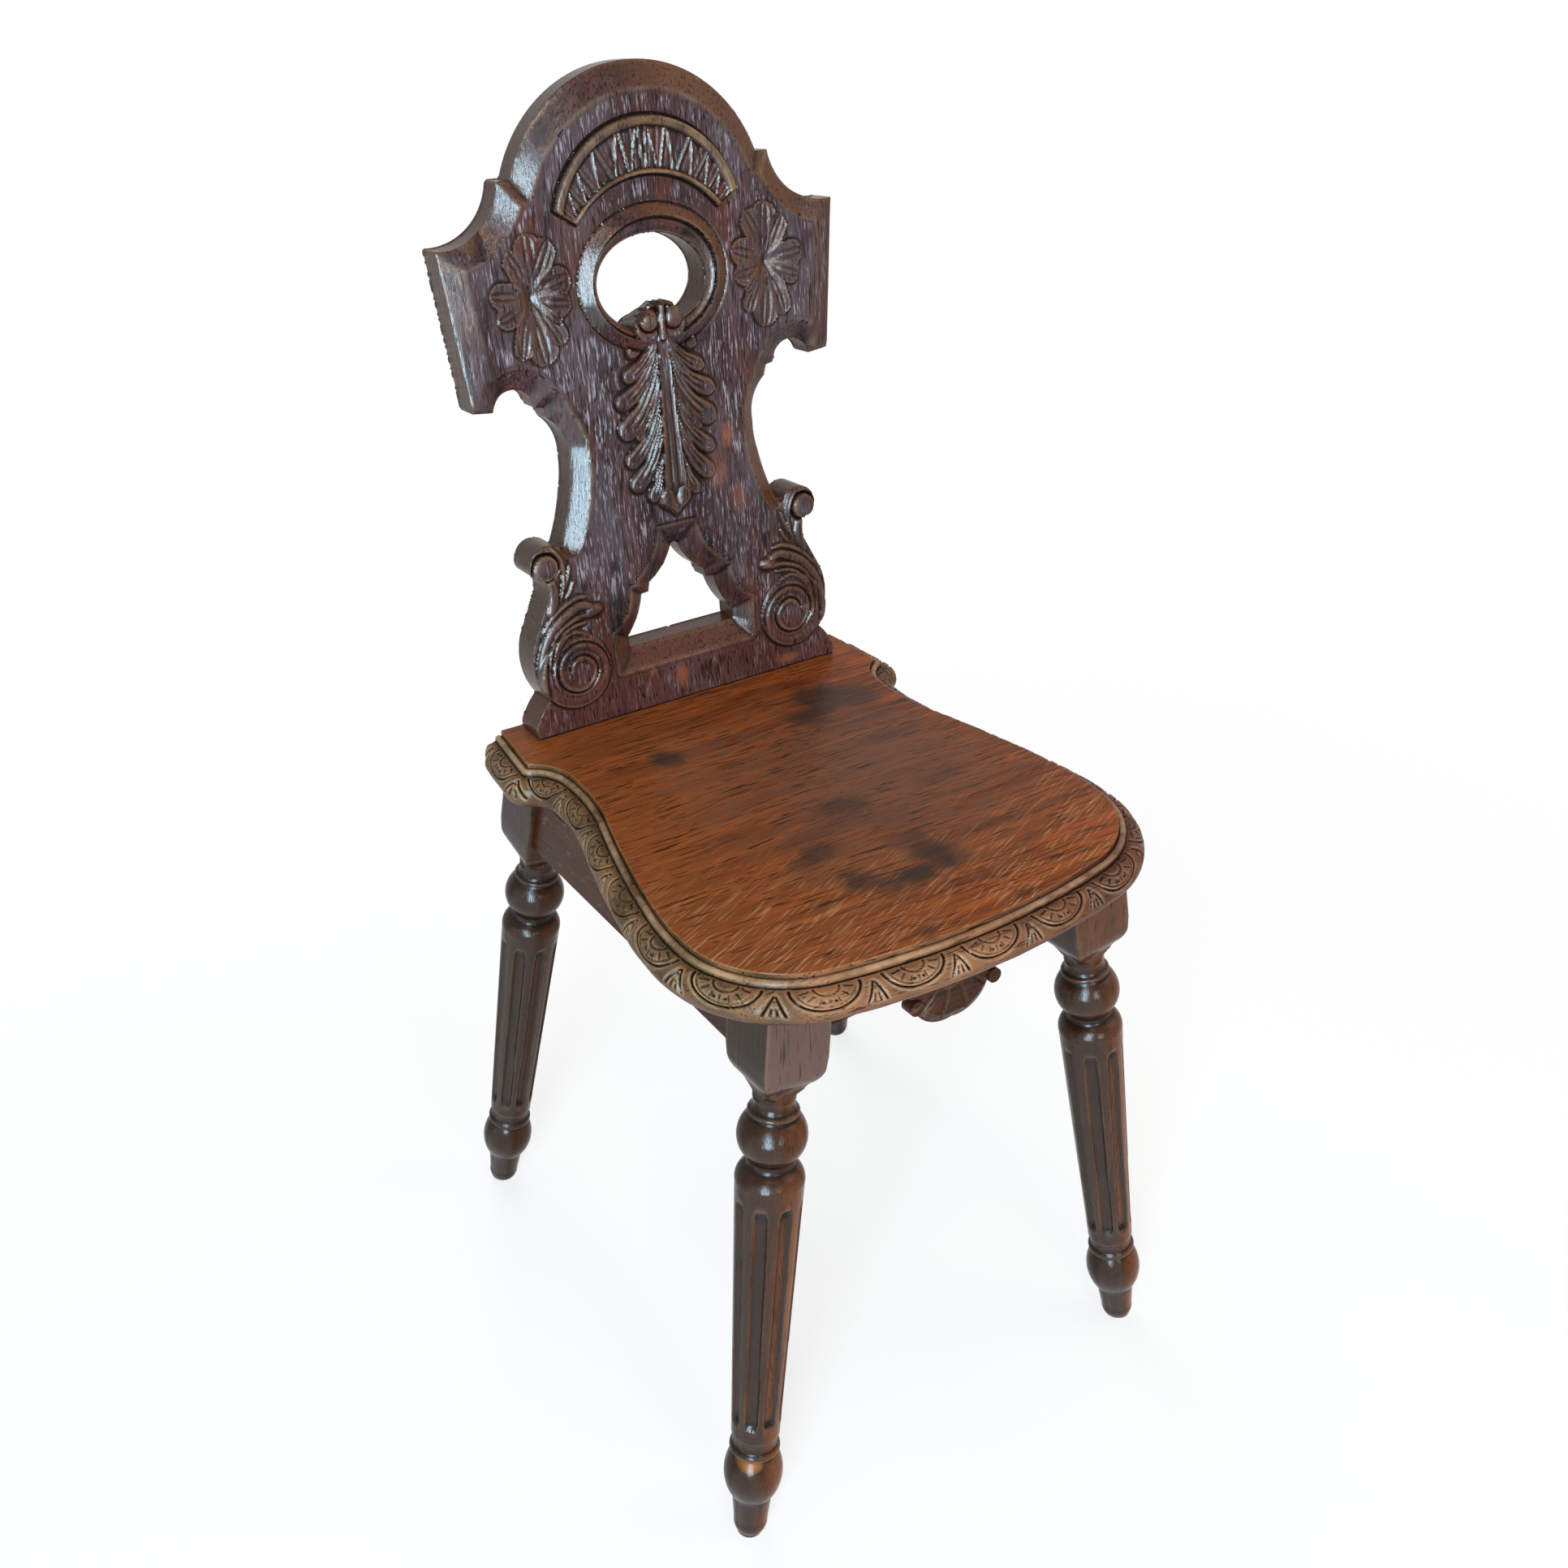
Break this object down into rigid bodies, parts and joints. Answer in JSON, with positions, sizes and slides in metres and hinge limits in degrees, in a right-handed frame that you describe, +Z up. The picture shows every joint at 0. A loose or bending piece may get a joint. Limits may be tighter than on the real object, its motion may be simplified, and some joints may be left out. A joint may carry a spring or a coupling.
{
  "type": "carved oak hall chair",
  "caption": "Joined oak hall chair with a pierced and carved board back, a shaped solid seat with a carved rim, and splayed turned and fluted legs",
  "frame": {"origin": "On the floor under the middle of the chair's bounding box", "axes": "+Z up, the chair faces -Y, +X is the right-hand side seen from the front; the chair is symmetric about the YZ plane"},
  "size_m": [0.374, 0.4342, 0.8701],
  "materials": {
    "back_oak": "dark stained and waxed oak with open vertical grain, worn red-brown patches",
    "seat_oak": "polished red-brown oak with ray flecks and old stains",
    "leg_oak": "dark polished oak",
    "rail_oak": "dark polished oak",
    "inner_oak": "unstained oak, hidden or under the seat",
    "screw_steel": "dull steel"
  },
  "bodies": {
    "root": {"back_board": "back_oak", "back_wedges": "inner_oak", "seat_front_board": "seat_oak", "seat_rear_board": "seat_oak", "seat_dowels": "inner_oak", "front_left_leg": "leg_oak", "front_right_leg": "leg_oak", "rear_left_leg": "leg_oak", "rear_right_leg": "leg_oak", "front_rail": "rail_oak", "rear_rail": "rail_oak", "left_rail": "rail_oak", "right_rail": "rail_oak", "front_pendant": "rail_oak", "corner_block_front_left": "inner_oak", "corner_block_front_right": "inner_oak", "corner_block_rear_left": "inner_oak", "corner_block_rear_right": "inner_oak", "seat_screws": "screw_steel", "block_screws": "screw_steel"}
  },
  "joints": []
}
